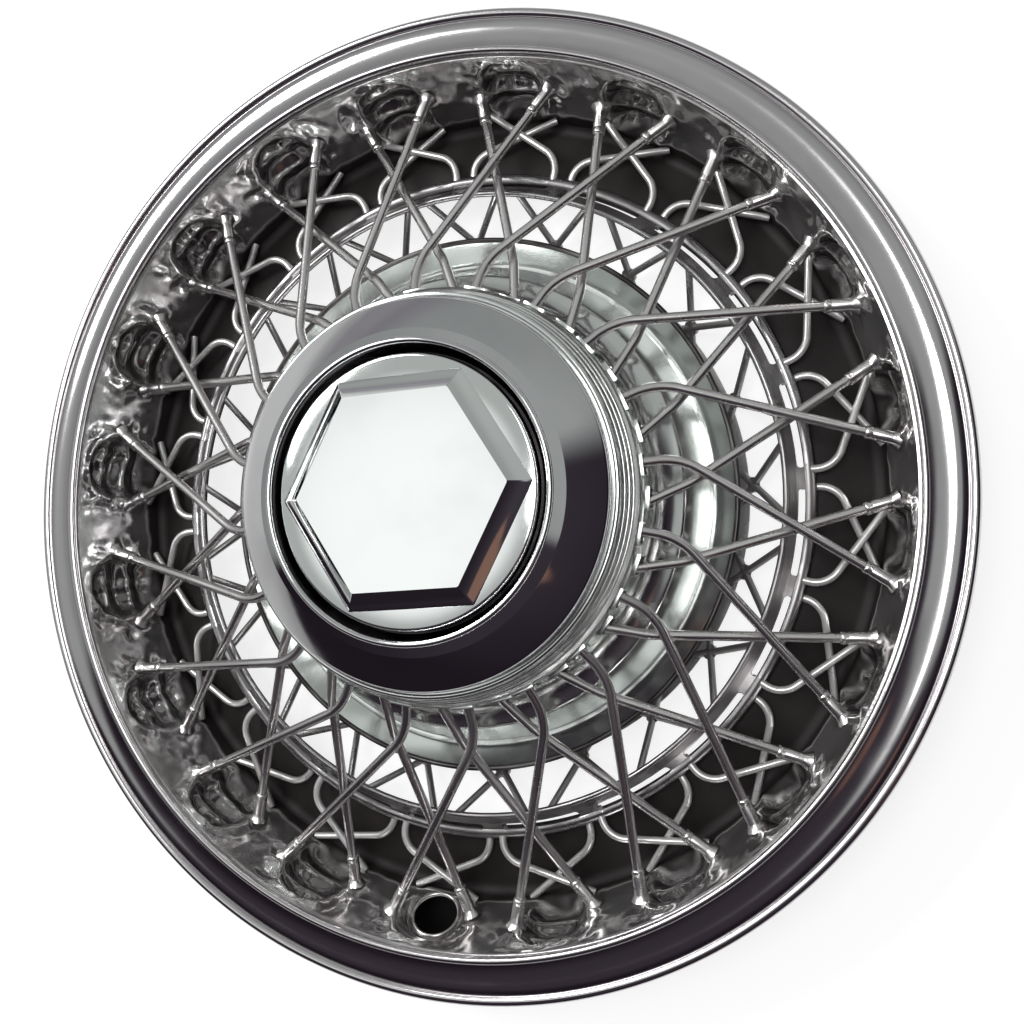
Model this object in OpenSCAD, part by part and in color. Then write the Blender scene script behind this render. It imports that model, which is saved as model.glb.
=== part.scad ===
// Wire wheel cover: a pressed steel bowl under a polished trim ring, with a chrome
// hub held by long bent wire spokes, short outer spokes and a rear lattice.
// Heights in the sections are counted from the plane of the trim ring's edge. The
// whole cover is lifted by base_drop, so that the flange of its hub base lies on z = 0.

/* [Trim ring] */
// Overall diameter over the rolled edge
trim_d = 406; // [396:1:416]
// Thickness of the pressed sheet
sheet_t = 1; // [0.8:0.1:1.2]
// Diameter of the rolled outer edge
edge_roll_d = 4.4; // [3.6:0.2:5]
// Width of the crown, from the edge to its crest
crown_w = 9.3; // [8:0.1:10.5]
// Height of the crest above the edge plane
crown_rise = 2.4; // [2:0.1:3]
// Width of the flange, from the edge to the middle of the bead
flange_w = 19.1; // [18:0.1:20.5]
// Diameter of the rolled bead at the inner edge
bead_d = 3.2; // [2.8:0.1:3.6]
// Height of the middle of the bead
bead_z = 4.2; // [4:0.1:5]

/* [Bowl] */
// Depth from the bowl's flange to its deepest line
bowl_depth = 43; // [41:0.5:44]
// How far the bowl's wall leans in from top to bottom
wall_lean = 16; // [14:0.5:18]
// Radius inside the corner between the wall and the floor
floor_fillet = 5; // [4:0.5:6]
// Spoke pairs round the cover, and so pockets in the wall
pair_count = 20; // [18:1:20]
// Radius across a pocket
pocket_r = 17; // [15:0.5:18]
// How deep a pocket is pressed into the wall
pocket_depth = 6; // [4:0.5:6.5]
// Straight length of a pocket, between its round ends
pocket_run = 10; // [6:0.5:11]
// Height of the pockets' middle above the middle of the wall, along the wall
pocket_lift = 1; // [0.5:0.1:1.5]
// Turn of the first pocket from the right-hand side
pocket_turn = 12.9; // [0:0.1:18]
// Diameter of the hole for the tyre valve
valve_d = 17; // [14:0.5:20]
// Number of pockets from the first one to the valve hole
valve_pocket = 14; // [0:1:17]

/* [Retaining ring] */
// Height of the ring below the bowl's flange
retain_h = 40; // [34:1:42]
// Thickness of its spring steel
retain_t = 1.2; // [0.9:0.1:1.5]
// Spring teeth round the ring
tooth_count = 16; // [8:1:20]
// Width of a tooth
tooth_w = 14; // [8:0.5:18]
// Length of a tooth
tooth_len = 17; // [12:0.5:20]
// How far the tip of a tooth stands out from the ring
tooth_reach = 5; // [3:0.5:7]
// Width of the notch that lets the tyre valve through
notch_w = 24; // [20:1:28]

/* [Inner ring] */
// How far its foot stands outside the middle between the hub's dish and the crease
ring_shift = 2.4; // [1.5:0.1:3]
// Radial width of the ring, from the inside of its lip to its foot
ring_w = 12; // [11.6:0.1:12.6]
// Height of the top of the lip above the middle of the foot
lip_rise = 10.5; // [9.5:0.1:11.5]
// Diameter of the roll of the lip
lip_roll_d = 2.6; // [2.2:0.1:3]
// Diameter of the roll of the foot, which stands on the bowl
foot_roll_d = 6; // [5.8:0.1:6.6]
// Height of the land under the foot above the bowl's crease
land_rise = 10.5; // [9.5:0.1:11]
// Radial width of the cone under the lip
cone_w = 4.6; // [3.6:0.1:5]
// Share of the pitch that a slot in the cone takes
slot_share = 0.74; // [0.5:0.01:0.8]

/* [Long spokes] */
// Diameter of the long wires
long_wire_d = 3.6; // [3:0.1:3.8]
// Bend radius of the long wires
long_bend_r = 26; // [18:1:28]
// Distance from the drum to the corner of a front wire's bend
front_reach = 13.4; // [12.8:0.1:14.4]
// Distance from the drum to the corner of a rear wire's bend
rear_reach = 14.9; // [14:0.1:16]
// Turn of a rear wire between its window and the corner of its bend
rear_corner_turn = 4.5; // [4:0.1:5]
// Drop of a long wire from its window to the corner of the bend
long_drop = 5.7; // [5:0.1:6.2]
// Turn of a long wire's root from the middle of its pair
window_split = 4; // [3.8:0.1:4.4]
// Turn of a nipple from the middle of its pocket
nipple_split = 5.35; // [5.2:0.05:5.8]
// Diameter of a nipple
nipple_d = 5.2; // [4.6:0.1:5.6]
// Length of a nipple
nipple_len = 13; // [10:0.5:17]
// Height of the seats of the front row on the wall
front_seat_z = -15; // [-16:0.5:-12]
// Height of the seats of the rear row on the wall
rear_seat_z = -22; // [-23:0.5:-20]

/* [Short spokes] */
// Diameter of the short wires
short_wire_d = 2.9; // [2.4:0.1:3]
// Height between the two layers of short wires, from middle to middle
short_layer = 3.1; // [3.1:0.1:3.3]
// Bend radius of the short wires
short_bend_r = 10.4; // [8:0.2:10.6]
// Distance from the inner ring's foot to the corner of the bend
short_reach = 7.8; // [7.6:0.1:9]
// Turn of a short wire's root from the middle of its pair
short_split = 1.4; // [1.3:0.1:2]
// Turn of a short wire's end from the middle of its pocket
short_end_split = 4.9; // [4.4:0.1:5.2]
// Drop of the short wires from the bend to the wall
short_drop = 6.6; // [5:0.1:7]

/* [Rear spokes] */
// Diameter of the rear wires
rear_wire_d = 2.9; // [2.2:0.1:3.1]
// Turn of a rear wire's outer end from the middle of its cross
rear_outer_split = 7.2; // [7:0.1:8.2]
// Turn of a rear wire's inner end from the middle of its cross
rear_inner_split = 3; // [2:0.1:4]
// Distance from the hub base's wall to a rear wire's inner end
rear_foot_w = 10.8; // [8:0.1:11.2]
// Diameter of the flat weld where two rear wires cross
weld_d = 6.4; // [5:0.2:8]
// Thickness of that weld
weld_t = 1.6; // [1.2:0.1:2.4]

/* [Hub] */
// Depth of the hub base's flange below the bowl's crease
base_depth = 6.1; // [4:0.1:8]
// How far the hub base's wall stands in from the drum's foot
base_inset = 2; // [1.5:0.1:4]
// Width of the hub base's flange
base_flange_w = 13.5; // [13:0.1:15]
// Width of the hub's rear dish outside the drum's foot
dish_w = 12.3; // [11.5:0.1:13.5]
// Height of the edge of the rear dish
dish_edge_z = -18.9; // [-20:0.1:-18]
// Diameter of the rolled edge of the rear dish
dish_roll_d = 2.2; // [1.8:0.1:2.6]
// Height of the rear dish where the drum stands on it
drum_foot_z = -25.7; // [-26.5:0.1:-25]
// Diameter of the drum where the windows are
drum_d = 165.2; // [162:0.2:168]
// How far the drum's foot stands out from its wall
drum_step_w = 17.4; // [16.5:0.1:18.5]
// Height of the upright skirt at the drum's foot
drum_skirt_h = 3.7; // [3:0.1:5]
// Width of the flat shoulder between the drum's step and its flare
drum_shoulder_w = 1.3; // [1.2:0.1:2]
// Radius of the drum's flare below the windows
flare_r = 12.5; // [12:0.1:13]
// Height of the middle of the front row of windows
front_window_z = 18; // [17.8:0.1:18.6]
// Height of the middle of the rear row of windows
rear_window_z = 10.6; // [10:0.1:10.8]
// Length of a window round the drum
window_l = 7.4; // [7:0.1:7.8]
// Turn of a window's middle from its wire's root
window_shift = 0.8; // [0.6:0.1:1]
// Height of a window
window_h = 5.2; // [5:0.1:5.4]
// Width of the raised collar round a window
collar_w = 0.9; // [0.6:0.1:1]
// How far a collar stands out from the drum
collar_rise = 1.1; // [0.8:0.1:1.6]
// How far the bead at the top of the drum stands in from its wall
drum_top_inset = 4; // [3.4:0.1:4.6]
// Height of the top of that bead
drum_top_z = 37.4; // [36.8:0.1:38]
// Distance from the drum's wall to the band that holds the spokes' inner ends
anchor_inset = 7.1; // [6.6:0.1:8.6]
// Thickness of that band
anchor_t = 1.2; // [0.8:0.1:1.6]

/* [Cap] */
// How far the bezel's rim stands in from the bead at the top of the drum
bezel_inset = 2.8; // [2.6:0.1:4]
// Height of the bezel's rim above the drum's top flange
bezel_rim_h = 4.5; // [3:0.1:5.5]
// Width of the ledge and the slope outside the bead round the centre cap
bezel_ridge_w = 3.8; // [3:0.1:5]
// Drop from the top of that bead to the ridge outside it
bezel_ridge_drop = 4.3; // [4:0.1:4.8]
// Width from the cap's well to the outside of that bead
bezel_lip_w = 5.2; // [4.6:0.1:5.8]
// Height of the top of that bead
bezel_bead_z = 54.8; // [54:0.1:56]
// Diameter of the roll of that bead
bezel_roll_d = 2.6; // [2.2:0.1:3]
// Diameter of the centre cap
cap_d = 104.8; // [103:0.2:106]
// Height of the face of the centre cap's disc
cap_z = 53.5; // [53:0.1:54.5]
// Depth of the well that holds the centre cap
well_depth = 7; // [6:0.1:8]
// Width of the ledge at the bottom of the well
ledge_w = 6; // [5:0.5:7]
// Gap round the centre cap in its well
cap_gap = 0.6; // [0.4:0.1:0.8]
// Distance from the edge of the disc to the hexagon's lower corners
hex_margin = 1.6; // [1.2:0.1:4]
// Height of the hexagon above the cap's disc
hex_h = 5.3; // [4:0.1:6]
// Width of the bevel round the hexagon
hex_bevel_w = 7.2; // [6:0.1:7.4]
// Turn of the hexagon
hex_turn = 4.4; // [0:0.1:60]
// Fingers of the spring under the centre cap
finger_count = 12; // [8:1:16]

/* [Hidden] */
$fn = 120;
pitch = 360 / pair_count;
trim_r = trim_d / 2;
edge = [trim_r - edge_roll_d / 2, -edge_roll_d / 4];
crest = [trim_r - crown_w, crown_rise];
bead = [trim_r - flange_w, bead_z];
cove = cove_circle();

// Radii of the hub, worked out from the drum
drum_r = drum_d / 2;
drum_foot_r = drum_r + drum_step_w;
dish_r = drum_foot_r + dish_w;
base_r = drum_foot_r - base_inset;
base_flange_r = base_r + base_flange_w;
drum_top_r = drum_r - drum_top_inset;
bezel_r = drum_top_r - bezel_inset;
anchor_r = drum_r - anchor_inset;

// Front face of the bowl: flange, wall, crease, floor and the land of the inner ring
seat_z = bead_z - bead_d / 2;
wall_inset = 2.6;
wall_top = [bead.x - wall_inset, seat_z];
crease = wall_top - [wall_lean, bowl_depth];
wall_len = norm(wall_top - crease);
wall_dir = (wall_top - crease) / wall_len;
wall_out = [wall_dir.y, -wall_dir.x];
base_drop = base_depth - crease.y;
flange_gap = 0.4;
flange_r = cove.x - sqrt(pow(cove.z + sheet_t, 2) - pow(cove.y - seat_z, 2)) - flange_gap;

// The inner ring stands between the hub's dish and the crease
foot_r = (dish_r + crease.x) / 2 + ring_shift;
land_z = crease.y + land_rise;
foot_z = land_z + foot_roll_d / 2;
foot_mid = [foot_r - foot_roll_d / 2, foot_z];
lip_z = foot_z + lip_rise;
land_margin = [2, 0.6];
lip_mid = [foot_r - ring_w + lip_roll_d / 2, lip_z - lip_roll_d / 2];
cone_foot = foot_mid + [-0.5, foot_roll_d / 2 - sheet_t];
cone_top = [lip_mid.x + cone_w - sheet_t, lip_z - cone_w];
cone = [cone_foot, cone_top, lip_mid + [lip_roll_d / 4, lip_roll_d / 4]];
slot_margin = 0.4;

// Pockets, each a round-ended rod pressed out through the wall
pocket_mid = crease + wall_dir * (wall_len / 2 + pocket_lift);
pocket_axis = pocket_mid - wall_out * (pocket_r - pocket_depth);
pocket_back_r = (pocket_mid + wall_out * (pocket_depth + sheet_t)).x;
valve_turn = pocket_turn + valve_pocket * pitch;

retain_gap = 0.6;
retain_r = max(pocket_back_r, wall_top.x + sheet_t / wall_dir.y) + retain_gap;
tooth_low = 8;
tooth_slit = 1;
tooth_root = 2;
tooth_sink = 0.2;

base_flange_z = sheet_t - base_drop;
base_top_z = drum_foot_z - sheet_t;
base_lip_w = 5;
dish_inner_w = 4;
dish_land_w = 1;
rear_seat_w = 1.6;

window_gap = 0.2;
flare_z = rear_window_z - window_h / 2 - collar_w - window_gap;
flare_turn = 75;
drum_rib_d = 2;
drum_bead_d = 2.4;
drum_neck = [2, 4];
neck_lean = [0.4, -2];
top_groove = 0.6;
anchor_rise = 9;
top_flange_w = 7;
top_face_z = drum_top_z - top_groove;
anchor_top_z = front_window_z + anchor_rise;

// A wire is a hair thicker in its bend, and its straight legs reach a little into it
bend_swell = 0.02;
bend_lap = 0.4;

// How far a wire runs into what it ends in, before it is trimmed there
seat_bite = 3;

cap_r = cap_d / 2;
hex_foot = (cap_r - hex_margin) * cos(30);
hex_face = hex_foot - hex_bevel_w;
cap_edge_r = 1.6;
well_z = bezel_bead_z - well_depth;
well_r = cap_r + cap_gap;
bezel_bead_r = well_r + bezel_lip_w;
bezel_bead = [bezel_bead_r - bezel_roll_d / 2, bezel_bead_z - bezel_roll_d / 2];
bezel_edge_r = 2.5;
ledge_r = well_r - ledge_w;
spring_t = 0.8;
spring_gap = 0.3;
spring_hook = 3;
spring_bead_r = 1;
spring_slit = 3;

function unit(v) = v / norm(v);
function left_of(v) = [-v.y, v.x];

// A point at a radius, an angle and a height
function at(r, a, z) = [r * cos(a), r * sin(a), z];

// Points on an arc about c, from one angle to another
function arc(c, r, from, to, steps = 6) =
    [for (i = [0:steps]) let (a = from + (to - from) * i / steps) c + r * [cos(a), sin(a)]];

// The arc that rounds the corner b of the path a, b, c
function rounded(a, b, c, r) =
    let (u = unit(a - b), v = unit(c - b), half = acos(u * v) / 2,
         mid = b + unit(u + v) * r / sin(half),
         p = b + u * r / tan(half) - mid, q = b + v * r / tan(half) - mid,
         from = atan2(p.y, p.x), turn = atan2(q.y, q.x) - from)
    arc(mid, r, from, from + (turn > 180 ? turn - 360 : turn < -180 ? turn + 360 : turn));

// The path moved to its left by d, with mitred corners
function beside(path, d) =
    [for (i = [0:len(path) - 1])
        let (j = max(i, 1), k = min(i, len(path) - 2),
             u = left_of(unit(path[j] - path[j - 1])), v = left_of(unit(path[k + 1] - path[k])),
             n = unit(u + v))
        path[i] + n * d / (n * u)];

// Turn of a stretch of a circle
function turn_of(length, r) = length / r * 180 / PI;

// Centre and radius of the trim ring's cove, from the crest up to the bead
function cove_circle() =
    let (run = crest.x - bead.x - bead_d / 4, lift = bead.y + bead_d / 4 - crest.y,
         r = (run * run + lift * lift) / (2 * lift))
    [crest.x, crest.y + r, r];

// Radius of the bowl's wall at a height
function wall_r(z) = crease.x + (z - crease.y) * wall_dir.x / wall_dir.y;

function bowl_path() = concat(
    [[flange_r, seat_z], wall_top],
    rounded(wall_top, crease, [foot_r + land_margin.y, land_z], floor_fillet),
    [[foot_r + land_margin.y, land_z], [foot_mid.x - land_margin.x, land_z]]);

// Section of a pressed sheet whose front face follows the path
module sheet_section(path, t = sheet_t) {
    back = beside(path, t);
    polygon(concat(path, [for (i = [len(back) - 1:-1:0]) back[i]]));
}

module lifted() translate([0, 0, base_drop]) children();

module rod(a, b, d) {
    v = b - a;
    translate(a) rotate([0, acos(v.z / norm(v)), atan2(v.y, v.x)]) cylinder(d = d, h = norm(v));
}

// A wire from a to b with its bend at the corner c, and a sleeve on its last stretch
module bent_wire(a, c, b, bend_r, d, sleeve_d = 0, sleeve_len = 0, past = 0) {
    u = unit(c - a);
    v = unit(b - c);
    turn = acos(u * v);
    back = bend_r * tan(turn / 2);
    mid = c + unit(v - u) * bend_r / cos(turn / 2);
    x = unit(c - u * back - mid);
    z = unit(cross(u, v));
    y = cross(z, x);
    leg = norm(b - c) - back;
    multmatrix([[x.x, y.x, z.x, mid.x], [x.y, y.y, z.y, mid.y], [x.z, y.z, z.z, mid.z]]) {
        rotate_extrude(angle = turn) translate([bend_r, 0]) circle(d = d + bend_swell);
        translate([bend_r, bend_lap, 0]) rotate([90, 0, 0])
            cylinder(d = d, h = norm(c - a) - back + bend_lap);
        rotate(turn) translate([bend_r, 0, 0]) rotate([-90, 0, 0]) {
            translate([0, 0, -bend_lap]) cylinder(d = d, h = leg + past + bend_lap);
            if (sleeve_d > 0) translate([0, 0, leg - sleeve_len])
                cylinder(d = sleeve_d, h = sleeve_len + past);
        }
    }
}

module trim_ring() {
    run = crest.x - edge.x;
    fall = crest.y - edge.y - edge_roll_d / 2;
    crown_r = (run * run + fall * fall) / (2 * fall);
    crown = arc(crest - [0, crown_r], crown_r, 90 + asin(run / crown_r), 90);
    rise = arc([cove.x, cove.y], cove.z, 270, 270 - asin((crest.x - bead.x - bead_d / 4) / cove.z));
    color("lightgray") lifted() rotate_extrude() {
        translate(edge) circle(d = edge_roll_d);
        translate(bead) circle(d = bead_d);
        sheet_section(concat(crown, [for (i = [1:len(rise) - 1]) rise[i]]));
    }
}

module at_pockets() for (i = [0:pair_count - 1]) rotate(pocket_turn + i * pitch) children();

// The form that presses one pocket, grown by a thickness
module pocket_form(grow) {
    lean = atan2(wall_dir.x, wall_dir.y);
    r = pocket_r + grow;
    half = pocket_run / 2;
    translate([pocket_axis.x, 0, pocket_axis.y]) rotate([0, lean, 0]) rotate_extrude()
        intersection() {
            union() {
                translate([0, -half]) square([r, pocket_run]);
                for (side = [-1, 1]) translate([0, side * half]) circle(r = r);
            }
            translate([0, -half - 2 * r]) square([2 * r, pocket_run + 4 * r]);
        }
}

// All that lies beyond a line at a depth behind the front face of the bowl's wall
module outside_wall(depth = 0) {
    reach = [2 * pocket_r, 0];
    top = wall_top + wall_out * depth;
    low = crease + wall_out * depth;
    rotate_extrude() polygon([top, top + reach, low + reach, low]);
}

module bowl() {
    color("dimgray") lifted() difference() {
        union() {
            rotate_extrude() sheet_section(bowl_path());
            at_pockets() intersection() {
                pocket_form(sheet_t);
                outside_wall(sheet_t / 2);
            }
        }
        at_pockets() pocket_form(0);
        rotate(valve_turn) valve_hole();
    }
}

module valve_hole() {
    through = pocket_mid + wall_out * 2 * pocket_depth;
    rod([pocket_axis.x, 0, pocket_axis.y], [through.x, 0, through.y], valve_d);
}

module at_teeth() for (i = [0:tooth_count - 1])
    rotate(valve_turn + (i + 0.5) * 360 / tooth_count) children();

module retaining_ring() {
    top_z = seat_z - sheet_t;
    low_z = top_z - retain_h;
    outer_r = retain_r + retain_t;
    root_z = low_z + tooth_low;
    tip_z = root_z + tooth_len;
    tooth_turn = turn_of(tooth_w, retain_r);
    slit_turn = tooth_turn + 2 * turn_of(tooth_slit, retain_r);
    notch_h = pocket_mid.y + pocket_r / 2 - low_z;
    color("slategray") lifted() {
        difference() {
            translate([0, 0, low_z]) cylinder(r = outer_r, h = retain_h);
            translate([0, 0, low_z - retain_t]) cylinder(r = retain_r, h = retain_h + 2 * retain_t);
            rotate(valve_turn) translate([pocket_axis.x, -notch_w / 2, low_z - retain_t])
                cube([2 * pocket_r, notch_w, notch_h + retain_t]);
            at_teeth() rotate(-slit_turn / 2) rotate_extrude(angle = slit_turn)
                translate([retain_r - retain_t, root_z])
                    square([3 * retain_t, tooth_len + tooth_slit]);
        }
        at_teeth() rotate(-tooth_turn / 2) rotate_extrude(angle = tooth_turn) polygon([
            [retain_r + tooth_sink, root_z - tooth_root], [retain_r + tooth_sink, root_z],
            [retain_r + tooth_reach, tip_z], [outer_r + tooth_reach, tip_z],
            [outer_r - tooth_sink, root_z - tooth_root]]);
    }
}

module inner_ring() {
    slot_turn = slot_share * pitch;
    slot_r = (cone_foot.x + cone_top.x) / 2;
    slot_w = cone_foot.x - cone_top.x - 2 * slot_margin;
    low_z = foot_z - foot_roll_d / 2;
    slot_h = cone_top.y - low_z;
    color("gray") lifted() difference() {
        rotate_extrude() {
            translate(foot_mid) circle(d = foot_roll_d);
            translate(lip_mid) circle(d = lip_roll_d);
            sheet_section(cone);
        }
        at_pockets() {
            rotate(-slot_turn / 2) rotate_extrude(angle = slot_turn)
                translate([slot_r - slot_w / 2, low_z]) square([slot_w, slot_h]);
            for (side = [-1, 1]) rotate(side * slot_turn / 2) translate([slot_r, 0, low_z])
                cylinder(d = slot_w, h = slot_h);
        }
    }
}

// One long wire with its nipple, from its root at the window's turn to its seat on the wall
module long_spoke(hand, window_z, reach, corner_turn, wall_z) {
    root = hand * window_split;
    corner_r = drum_r + reach;
    c = at(corner_r, root + hand * corner_turn, window_z - long_drop);
    w = at(drum_r, root, window_z);
    a = c + (w - c) * (corner_r - anchor_r + seat_bite) / reach;
    b = at(wall_r(wall_z), hand * (pitch + nipple_split), wall_z);
    lifted() difference() {
        bent_wire(a, c, b, long_bend_r, long_wire_d, nipple_d, nipple_len, seat_bite);
        translate([0, 0, drum_foot_z]) cylinder(r = anchor_r, h = drum_top_z - drum_foot_z);
        outside_wall();
    }
}

module front_spoke(i) color("silver") rotate(pocket_turn + i * pitch)
    long_spoke(-1, front_window_z, front_reach, 0, front_seat_z);

module rear_spoke(i) color("silver") rotate(pocket_turn + i * pitch)
    long_spoke(1, rear_window_z, rear_reach, rear_corner_turn, rear_seat_z);

// One layer of short wires, each from the foot of the inner ring to the wall
module short_spokes(hand, z) {
    root = pitch / 2 - short_split;
    a = at(foot_mid.x + foot_roll_d / 4, -hand * root, z);
    c = at(foot_r + short_reach, -hand * root, z);
    b = at(wall_r(z - short_drop) + seat_bite, hand * short_end_split, z - short_drop);
    color("gainsboro") lifted() difference() {
        at_pockets() bent_wire(a, c, b, short_bend_r, short_wire_d);
        rotate_extrude() translate(foot_mid) circle(d = foot_roll_d);
        outside_wall();
    }
}

// Crossed wires from the back of the inner ring down to the flange of the hub base
module rear_lattice() {
    outer = cone_top - [rear_seat_w, 0];
    inner_r = base_r + rear_foot_w;
    reach = [0, cone_top.x - drum_r];
    a = at(outer.x, rear_outer_split, outer.y);
    b = at(inner_r, -rear_inner_split, base_flange_z);
    v = unit(b - a);
    cross_mid = a + (b - a) * a.y / (a.y - b.y);
    weld = unit(cross(v, [v.x, -v.y, v.z])) * weld_t / 2;
    color("gray") lifted() difference() {
        at_pockets() rotate(pitch / 2) {
            rod(a, b + v * seat_bite, rear_wire_d);
            mirror([0, 1, 0]) rod(a, b + v * seat_bite, rear_wire_d);
            rod(cross_mid - weld, cross_mid + weld, weld_d);
        }
        rotate_extrude() polygon(concat(beside(cone, sheet_t),
            [lip_mid + reach, [foot_r, lip_mid.y + reach.y]]));
        translate([0, 0, base_flange_z - base_drop]) cylinder(r = foot_r, h = base_drop);
    }
}

module hub_base() {
    color("darkgray") lifted() rotate_extrude() sheet_section([
        [base_flange_r, base_flange_z], [base_r, base_flange_z], [base_r, base_top_z],
        [base_r - base_lip_w, base_top_z]]);
}

module hub_dish() {
    edge_mid = [dish_r - dish_roll_d / 2, dish_edge_z - dish_roll_d / 2];
    color("silver") lifted() rotate_extrude() {
        translate(edge_mid) circle(d = dish_roll_d);
        sheet_section([edge_mid + [0, sheet_t / 2], [drum_foot_r + dish_land_w, drum_foot_z],
            [anchor_r - dish_inner_w, drum_foot_z]]);
    }
}

// One window's block, grown all round by a width
module window_block(from, to, grow) {
    translate([from, -window_l / 2 - grow, -window_h / 2 - grow])
        cube([to - from, window_l + 2 * grow, window_h + 2 * grow]);
}

module at_windows() at_pockets() {
    turn = window_split + window_shift;
    rotate(-turn) translate([0, 0, front_window_z]) children();
    rotate(turn) translate([0, 0, rear_window_z]) children();
}

module hub_drum() {
    foot = [drum_foot_r, drum_foot_z];
    skirt = foot + [0, drum_skirt_h];
    flare = arc([drum_r + flare_r, flare_z], flare_r, 180 + flare_turn, 180);
    shoulder = flare[0] + drum_shoulder_w * [sin(flare_turn), -cos(flare_turn)];
    neck_low = [drum_r - drum_neck.x, front_window_z + window_h / 2 + collar_w + drum_neck.y];
    top = [drum_top_r - drum_bead_d / 2, drum_top_z - drum_bead_d / 2];
    neck_top = top + neck_lean;
    color("silver") lifted() difference() {
        union() {
            rotate_extrude() {
                sheet_section(concat([foot], rounded(foot, skirt, shoulder, drum_skirt_h),
                    rounded(skirt, shoulder, flare[0], drum_bead_d), flare,
                    [neck_low + [drum_neck.x, -drum_neck.x], neck_low, neck_top,
                     [top.x, top_face_z], [top.x - top_flange_w, top_face_z]]));
                for (i = [0:2]) translate(neck_low + (neck_top - neck_low) * i / 3)
                    circle(d = drum_rib_d);
                translate(top) circle(d = drum_bead_d);
            }
            at_windows() window_block(drum_r - sheet_t / 2, drum_r + collar_rise, collar_w);
        }
        at_windows() window_block(drum_r - drum_top_inset, drum_r + drum_top_inset, 0);
    }
}

module spoke_anchor() {
    height = anchor_top_z - drum_foot_z;
    color("gray") lifted() translate([0, 0, drum_foot_z]) difference() {
        cylinder(r = anchor_r, h = height);
        translate([0, 0, -anchor_t]) cylinder(r = anchor_r - anchor_t, h = height + 2 * anchor_t);
    }
}

module cap_bezel() {
    rim = [bezel_r, top_face_z + bezel_rim_h];
    ridge = [bezel_bead_r + bezel_ridge_w, bezel_bead_z - bezel_ridge_drop];
    color("silver") lifted() rotate_extrude() {
        translate(bezel_bead) circle(d = bezel_roll_d);
        sheet_section(concat([[rim.x, top_face_z]],
            rounded([rim.x, top_face_z], rim, ridge, bezel_edge_r),
            [ridge, bezel_bead + [0, (sheet_t - bezel_roll_d) / 2]]));
        sheet_section([bezel_bead - [0, sheet_t / 2], [well_r, well_z + sheet_t], [well_r, well_z],
            [ledge_r, well_z]]);
    }
}

// A hexagonal block with sloping sides, standing on z = 0
module bevelled_hex(foot, face, h) {
    intersection_for (i = [0:2]) rotate(i * 60) rotate([90, 0, 0])
        linear_extrude(4 * foot, center = true)
            polygon([[-foot, 0], [foot, 0], [face, h], [-face, h]]);
}

module centre_cap() {
    disc_z = cap_z - sheet_t;
    color("silver") lifted() difference() {
        union() {
            rotate_extrude() {
                sheet_section(concat([[cap_r, well_z]],
                    rounded([cap_r, well_z], [cap_r, cap_z], [0, cap_z], cap_edge_r),
                    [[sheet_t, cap_z]]));
                translate([0, disc_z]) square([2 * sheet_t, sheet_t]);
            }
            rotate(hex_turn) translate([0, 0, disc_z])
                bevelled_hex(hex_foot, hex_face, hex_h + sheet_t);
        }
        rotate(hex_turn) translate([0, 0, disc_z - sheet_t])
            bevelled_hex(hex_foot - sheet_t, hex_face - sheet_t, hex_h + sheet_t);
    }
}

module cap_spring() {
    outer = ledge_r - spring_gap;
    grip_z = well_z - sheet_t - spring_gap;
    height = cap_z - sheet_t - grip_z;
    color("darkgray") lifted() difference() {
        rotate_extrude() {
            translate([outer - spring_t, grip_z - spring_hook])
                square([spring_t, height + spring_hook]);
            translate([outer, grip_z - spring_bead_r]) circle(r = spring_bead_r);
        }
        for (i = [0:finger_count - 1]) rotate(i * 360 / finger_count)
            translate([outer - ledge_w, -spring_slit / 2, grip_z - 2 * spring_hook])
                cube([2 * ledge_w, spring_slit, 2 * spring_hook + height / 2]);
    }
}

trim_ring();
bowl();
retaining_ring();
inner_ring();
rear_lattice();
short_spokes(1, foot_z + short_layer / 2);  // short_spokes_upper
short_spokes(-1, foot_z - short_layer / 2);  // short_spokes_lower
hub_base();
hub_dish();
hub_drum();
spoke_anchor();
cap_bezel();
centre_cap();
cap_spring();
for (i = [1:pair_count]) front_spoke(i);
for (i = [1:pair_count]) rear_spoke(i);
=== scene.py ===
# Wire wheel cover lying face up: a polished trim ring, a dished bowl with pressed
# pockets, forty long and forty short wires, and a chrome hub with a hexagonal cap.
import math

import bpy
from mathutils import Matrix, Vector, noise


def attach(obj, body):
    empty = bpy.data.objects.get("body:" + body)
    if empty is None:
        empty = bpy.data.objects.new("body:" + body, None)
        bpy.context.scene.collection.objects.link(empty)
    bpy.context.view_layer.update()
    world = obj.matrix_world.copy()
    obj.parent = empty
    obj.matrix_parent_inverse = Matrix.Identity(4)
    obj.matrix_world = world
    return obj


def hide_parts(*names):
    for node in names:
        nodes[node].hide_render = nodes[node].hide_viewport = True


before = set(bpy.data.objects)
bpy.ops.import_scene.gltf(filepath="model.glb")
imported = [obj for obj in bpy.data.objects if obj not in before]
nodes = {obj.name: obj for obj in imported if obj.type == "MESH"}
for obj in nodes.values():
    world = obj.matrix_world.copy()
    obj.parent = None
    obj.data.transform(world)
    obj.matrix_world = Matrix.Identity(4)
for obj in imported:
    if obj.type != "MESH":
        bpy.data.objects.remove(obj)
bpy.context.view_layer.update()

# Where the photograph was taken from: the camera stands over the cover, leaning off
# the axle to the right, and looks at the plane of the trim ring's edge.
edge_radius = 0.203
edge_height = 0.0465
lean = math.radians(19.56)
lean_turn = math.radians(-7.58)
camera_distance = 2.81846 * edge_radius
aim_right = 0.10968 * edge_radius
aim_up = -0.02532 * edge_radius

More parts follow.
